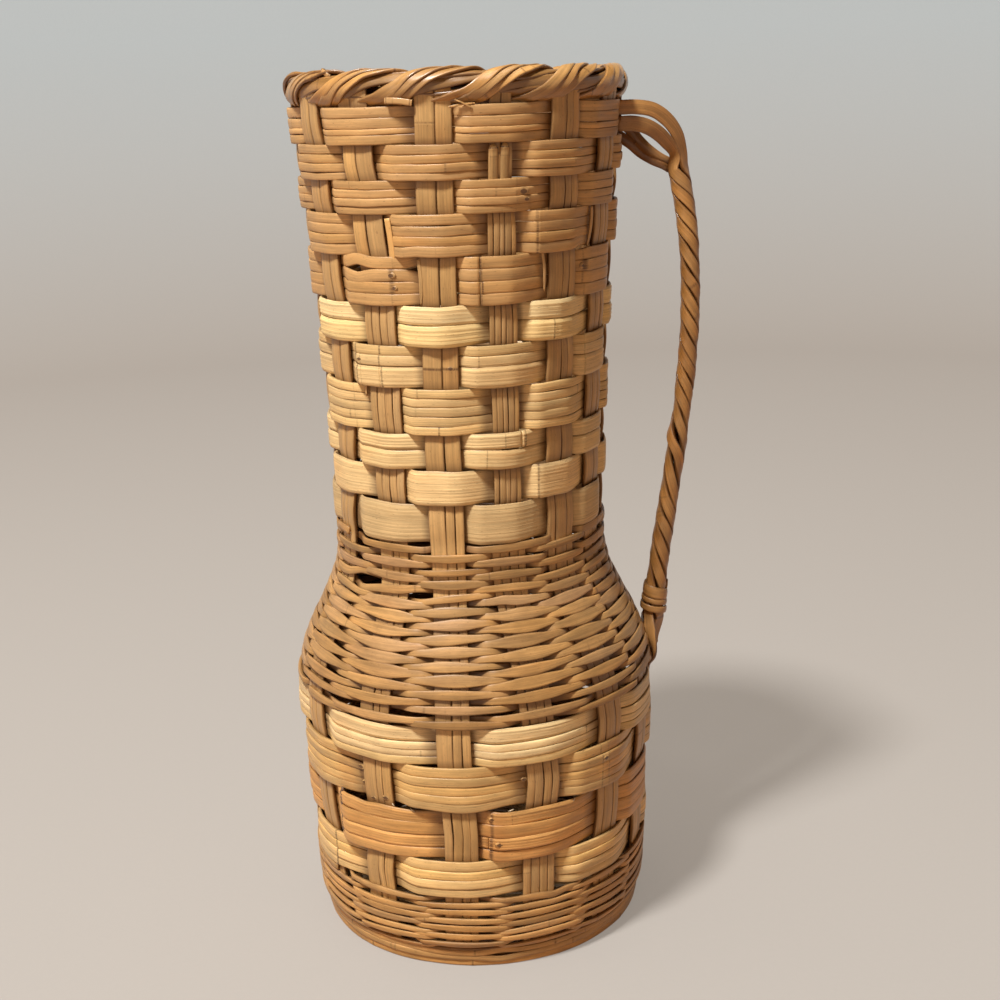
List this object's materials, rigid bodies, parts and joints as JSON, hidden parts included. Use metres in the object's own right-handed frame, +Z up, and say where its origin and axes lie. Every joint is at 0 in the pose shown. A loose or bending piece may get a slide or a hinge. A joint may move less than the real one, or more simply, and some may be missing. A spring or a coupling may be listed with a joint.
{
  "type": "wicker pitcher vase",
  "caption": "Tall woven cane vase in the shape of a pitcher: plaited base, round belly, drawn-in neck, rope rim and one long twisted cane handle.",
  "frame": {"origin": "on the ground, under the middle of the whole outline with the handle; the axis of the vase itself stands at x = -0.0148 m", "axes": "+Z up along the height, +X towards the handle's side, -Y towards the front of the picture"},
  "size_m": [0.2446, 0.2148, 0.4988],
  "materials": {
    "stake_cane": "peeled cane stakes, satin, warm tan with fine lengthwise ribs",
    "body_band_cane": "half-round cane bands, satin, orange tan",
    "neck_band_cane": "half-round cane bands, satin, warm honey tan",
    "pale_band_cane": "flat cane bands, matt, pale straw",
    "fine_cane": "fine half-round canes, satin, tan with darker joints",
    "rim_cane": "round canes with their bark, satin, brown honey",
    "handle_cane": "split cane with its bark, satin, brown honey"
  },
  "bodies": {
    "root": {"stake_strip_1": "stake_cane", "stake_strip_2": "stake_cane", "stake_strip_3": "stake_cane", "stake_strip_4": "stake_cane", "stake_strip_5": "stake_cane", "stake_strip_6": "stake_cane", "stake_strip_7": "stake_cane", "body_band_1": "body_band_cane", "body_band_2": "body_band_cane", "body_band_3": "body_band_cane", "body_band_4": "body_band_cane", "neck_band_01": "neck_band_cane", "neck_band_02": "neck_band_cane", "neck_band_03": "neck_band_cane", "neck_band_04": "neck_band_cane", "neck_band_05": "neck_band_cane", "neck_band_06": "pale_band_cane", "neck_band_07": "pale_band_cane", "neck_band_08": "pale_band_cane", "neck_band_09": "pale_band_cane", "neck_band_10": "pale_band_cane", "neck_band_11": "pale_band_cane", "shoulder_cane_a1": "fine_cane", "shoulder_cane_a2": "fine_cane", "shoulder_cane_a3": "fine_cane", "shoulder_cane_a4": "fine_cane", "shoulder_cane_a5": "fine_cane", "shoulder_cane_b1": "fine_cane", "shoulder_cane_b2": "fine_cane", "shoulder_cane_b3": "fine_cane", "shoulder_cane_b4": "fine_cane", "shoulder_cane_b5": "fine_cane", "heel_cane_a1": "fine_cane", "heel_cane_a2": "fine_cane", "heel_cane_a3": "fine_cane", "heel_cane_b1": "fine_cane", "heel_cane_b2": "fine_cane", "heel_cane_b3": "fine_cane", "foot_ring": "rim_cane", "rim_ply_a": "rim_cane", "rim_ply_b": "rim_cane", "handle_strand_1": "handle_cane", "handle_strand_2": "handle_cane", "handle_strand_3": "handle_cane", "handle_strand_4": "handle_cane", "handle_binding": "handle_cane"}
  },
  "joints": []
}
